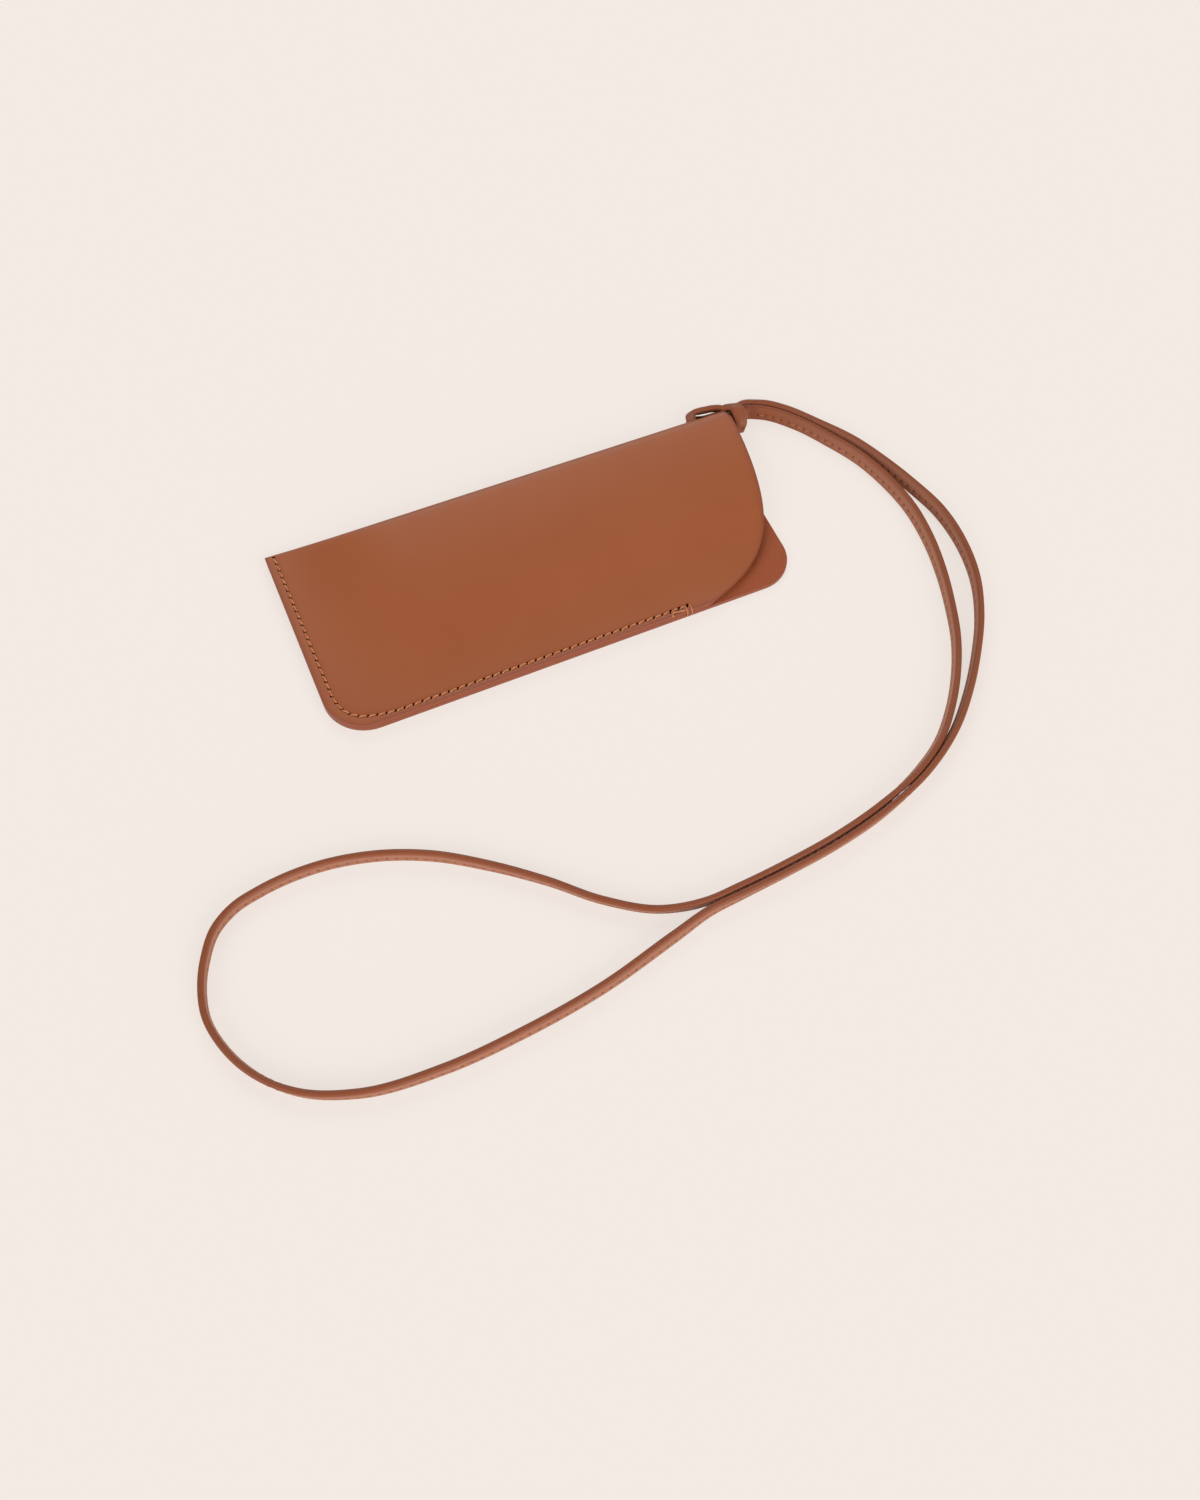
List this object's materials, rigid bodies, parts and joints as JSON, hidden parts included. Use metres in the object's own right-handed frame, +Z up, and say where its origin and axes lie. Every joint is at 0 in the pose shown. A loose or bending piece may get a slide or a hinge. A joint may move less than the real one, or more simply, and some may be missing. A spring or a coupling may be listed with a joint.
{
  "type": "glasses pouch",
  "caption": "Soft leather glasses pouch, folded along the top and stitched round one end and the bottom, with a long flat neck strap hitched through its mouth corner",
  "frame": {"origin": "centre of the pouch's footprint, on the surface that it lies on; the strap isn't counted", "axes": "+X along the pouch from its closed end to its open mouth, +Y from the stitched bottom edge to the fold, +Z up from the back leaf to the front leaf"},
  "size_m": [0.304, 0.2053, 0.0091],
  "materials": {
    "pouch_leather": "smooth vegetable-tanned leather, tan brown, satin",
    "strap_leather": "folded leather strap, reddish brown, satin"
  },
  "bodies": {
    "pouch": {"pouch_body": "pouch_leather", "strap_hitch": "strap_leather"},
    "strap": {"strap_loop": "strap_leather"}
  },
  "joints": [
    {"name": "strap_swing", "type": "hinge", "parent": "pouch", "child": "strap", "pos_m": [0.0971, 0.037, 0], "axis": [0, 0, 1], "range_deg": [-12, 18]}
  ]
}
